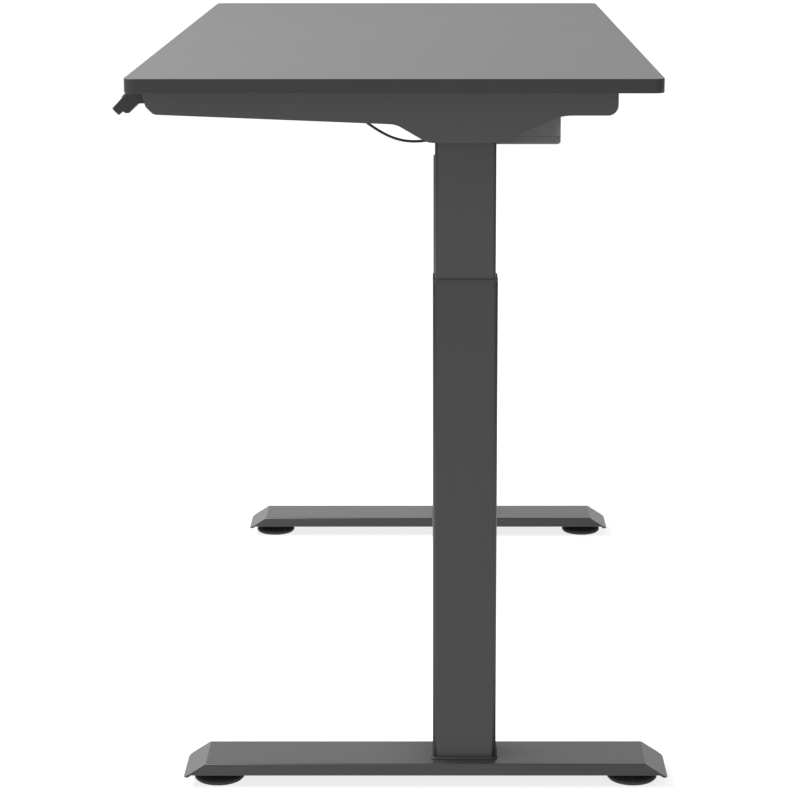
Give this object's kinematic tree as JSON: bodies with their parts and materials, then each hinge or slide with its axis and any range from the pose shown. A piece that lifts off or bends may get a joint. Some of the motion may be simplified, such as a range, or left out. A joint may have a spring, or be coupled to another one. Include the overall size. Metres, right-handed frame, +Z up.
{
  "type": "height adjustable standing desk",
  "caption": "Electric height adjustable desk: flat rectangular top on brackets, telescopic motor driven columns at each end, long low feet and a handset under the front edge.",
  "frame": {"origin": "on the floor under the middle of the desk's outline", "axes": "+X along the desktop's length, the user sits on the -Y side, +Z up"},
  "size_m": [1.2, 0.6496, 0.848],
  "materials": {
    "desktop_laminate": "matt charcoal laminate on particle board",
    "edge_band": "matt charcoal plastic edge band",
    "painted_frame": "fine textured charcoal powder coat",
    "push_tube_steel": "drawn steel tube",
    "screw_steel": "rolled thread, greased",
    "bearing_steel": "ground",
    "nut_plastic": "moulded acetal",
    "slide_plastic": "moulded, matt",
    "gearbox_housing": "die cast",
    "motor_can": "black zinc can",
    "zinc_fasteners": "black zinc",
    "glide_stud": "bright zinc",
    "glide_pad": "moulded, matt black",
    "box_plastic": "fine spark texture",
    "circuit_board": "solder mask",
    "handset_plastic": "fine texture",
    "handset_window": "smoked, polished",
    "key_rubber": "soft matt",
    "cable_jacket": "flexible jacket",
    "clip_plastic": "moulded"
  },
  "bodies": {
    "leg_left": {"foot_left": "painted_frame", "outer_tube_left": "painted_frame", "guide_collar_left": "slide_plastic", "push_tube_left": "push_tube_steel", "screw_nut_left": "nut_plastic", "foot_bolts_left": "zinc_fasteners"},
    "lift_screw_left": {"lift_screw_left": "screw_steel"},
    "glide_stud_left_front": {"glide_stud_left_front": "glide_stud"},
    "glide_pad_left_front": {"glide_pad_left_front": "glide_pad"},
    "glide_stud_left_rear": {"glide_stud_left_rear": "glide_stud"},
    "glide_pad_left_rear": {"glide_pad_left_rear": "glide_pad"},
    "leg_right": {"foot_right": "painted_frame", "outer_tube_right": "painted_frame", "guide_collar_right": "slide_plastic", "push_tube_right": "push_tube_steel", "screw_nut_right": "nut_plastic", "foot_bolts_right": "zinc_fasteners"},
    "lift_screw_right": {"lift_screw_right": "screw_steel"},
    "glide_stud_right_front": {"glide_stud_right_front": "glide_stud"},
    "glide_pad_right_front": {"glide_pad_right_front": "glide_pad"},
    "glide_stud_right_rear": {"glide_stud_right_rear": "glide_stud"},
    "glide_pad_right_rear": {"glide_pad_right_rear": "glide_pad"},
    "key_one": {"key_one": "key_rubber"},
    "key_two": {"key_two": "key_rubber"},
    "key_memory": {"key_memory": "key_rubber"},
    "key_up": {"key_up": "key_rubber"},
    "key_down": {"key_down": "key_rubber"},
    "upper": {"cable_clips": "clip_plastic", "control_board": "circuit_board", "control_box_lid": "box_plastic", "control_box_tub": "box_plastic", "desktop": "desktop_laminate", "edge_band": "edge_band", "gearbox_left": "gearbox_housing", "gearbox_right": "gearbox_housing", "guide_shoes": "slide_plastic", "handset_board": "circuit_board", "handset_cable": "cable_jacket", "handset_cover": "handset_plastic", "handset_housing": "handset_plastic", "handset_window": "handset_window", "head_bolts": "zinc_fasteners", "inner_tube_left": "painted_frame", "inner_tube_right": "painted_frame", "leg_head_left": "painted_frame", "leg_head_right": "painted_frame", "motor_cable_left": "cable_jacket", "motor_cable_right": "cable_jacket", "motor_left": "motor_can", "motor_right": "motor_can", "power_inlet": "box_plastic", "rail_bolts": "zinc_fasteners", "rail_front_inner": "painted_frame", "rail_front_outer": "painted_frame", "rail_rear_inner": "painted_frame", "rail_rear_outer": "painted_frame", "screw_bearings": "bearing_steel", "side_bracket_left": "painted_frame", "side_bracket_right": "painted_frame", "wood_screws": "zinc_fasteners"}
  },
  "joints": [
    {"name": "height", "type": "slide", "parent": "leg_left", "child": "upper", "axis": [0, 0, 1], "range_m": [-0.117, 0.343]},
    {"name": "right_leg_slide", "type": "slide", "parent": "upper", "child": "leg_right", "axis": [0, 0, 1], "range_m": [-0.343, 0.117]},
    {"name": "lift_screw_left_turn", "type": "hinge", "parent": "upper", "child": "lift_screw_left", "pos_m": [-0.5235, 0.08, 0.5], "axis": [0, 0, 1], "continuous": true},
    {"name": "glide_left_front_turn", "type": "hinge", "parent": "glide_stud_left_front", "child": "glide_pad_left_front", "pos_m": [-0.5235, -0.214, 0.01], "axis": [0, 0, -1], "range_deg": [0, 1730]},
    {"name": "glide_left_front_slide", "type": "slide", "parent": "leg_left", "child": "glide_stud_left_front", "axis": [0, 0, -1], "range_m": [0, 0.006]},
    {"name": "glide_left_rear_turn", "type": "hinge", "parent": "glide_stud_left_rear", "child": "glide_pad_left_rear", "pos_m": [-0.5235, 0.282, 0.01], "axis": [0, 0, -1], "range_deg": [0, 1730]},
    {"name": "glide_left_rear_slide", "type": "slide", "parent": "leg_left", "child": "glide_stud_left_rear", "axis": [0, 0, -1], "range_m": [0, 0.006]},
    {"name": "lift_screw_right_turn", "type": "hinge", "parent": "upper", "child": "lift_screw_right", "pos_m": [0.5235, 0.08, 0.5], "axis": [0, 0, 1], "continuous": true},
    {"name": "glide_right_front_turn", "type": "hinge", "parent": "glide_stud_right_front", "child": "glide_pad_right_front", "pos_m": [0.5235, -0.214, 0.01], "axis": [0, 0, -1], "range_deg": [0, 1730]},
    {"name": "glide_right_front_slide", "type": "slide", "parent": "leg_right", "child": "glide_stud_right_front", "axis": [0, 0, -1], "range_m": [0, 0.006]},
    {"name": "glide_right_rear_turn", "type": "hinge", "parent": "glide_stud_right_rear", "child": "glide_pad_right_rear", "pos_m": [0.5235, 0.282, 0.01], "axis": [0, 0, -1], "range_deg": [0, 1730]},
    {"name": "glide_right_rear_slide", "type": "slide", "parent": "leg_right", "child": "glide_stud_right_rear", "axis": [0, 0, -1], "range_m": [0, 0.006]},
    {"name": "key_one_press", "type": "slide", "parent": "upper", "child": "key_one", "axis": [0, 0.7314, -0.682], "range_m": [0, 0.001], "stiffness_N_per_m": 400, "springref_m": -0.0005},
    {"name": "key_two_press", "type": "slide", "parent": "upper", "child": "key_two", "axis": [0, 0.7314, -0.682], "range_m": [0, 0.001], "stiffness_N_per_m": 400, "springref_m": -0.0005},
    {"name": "key_memory_press", "type": "slide", "parent": "upper", "child": "key_memory", "axis": [0, 0.7314, -0.682], "range_m": [0, 0.001], "stiffness_N_per_m": 400, "springref_m": -0.0005},
    {"name": "key_up_press", "type": "slide", "parent": "upper", "child": "key_up", "axis": [0, 0.7314, -0.682], "range_m": [0, 0.001], "stiffness_N_per_m": 400, "springref_m": -0.0005},
    {"name": "key_down_press", "type": "slide", "parent": "upper", "child": "key_down", "axis": [0, 0.7314, -0.682], "range_m": [0, 0.001], "stiffness_N_per_m": 400, "springref_m": -0.0005}
  ],
  "couplings": [
    {"joint": "right_leg_slide", "follows": "height", "ratio": -1},
    {"joint": "lift_screw_left_turn", "follows": "height", "rad_per_m": 785.4},
    {"joint": "glide_left_front_turn", "follows": "glide_left_front_slide", "rad_per_m": 5026.5},
    {"joint": "glide_left_rear_turn", "follows": "glide_left_rear_slide", "rad_per_m": 5026.5},
    {"joint": "lift_screw_right_turn", "follows": "height", "rad_per_m": 785.4},
    {"joint": "glide_right_front_turn", "follows": "glide_right_front_slide", "rad_per_m": 5026.5},
    {"joint": "glide_right_rear_turn", "follows": "glide_right_rear_slide", "rad_per_m": 5026.5}
  ]
}
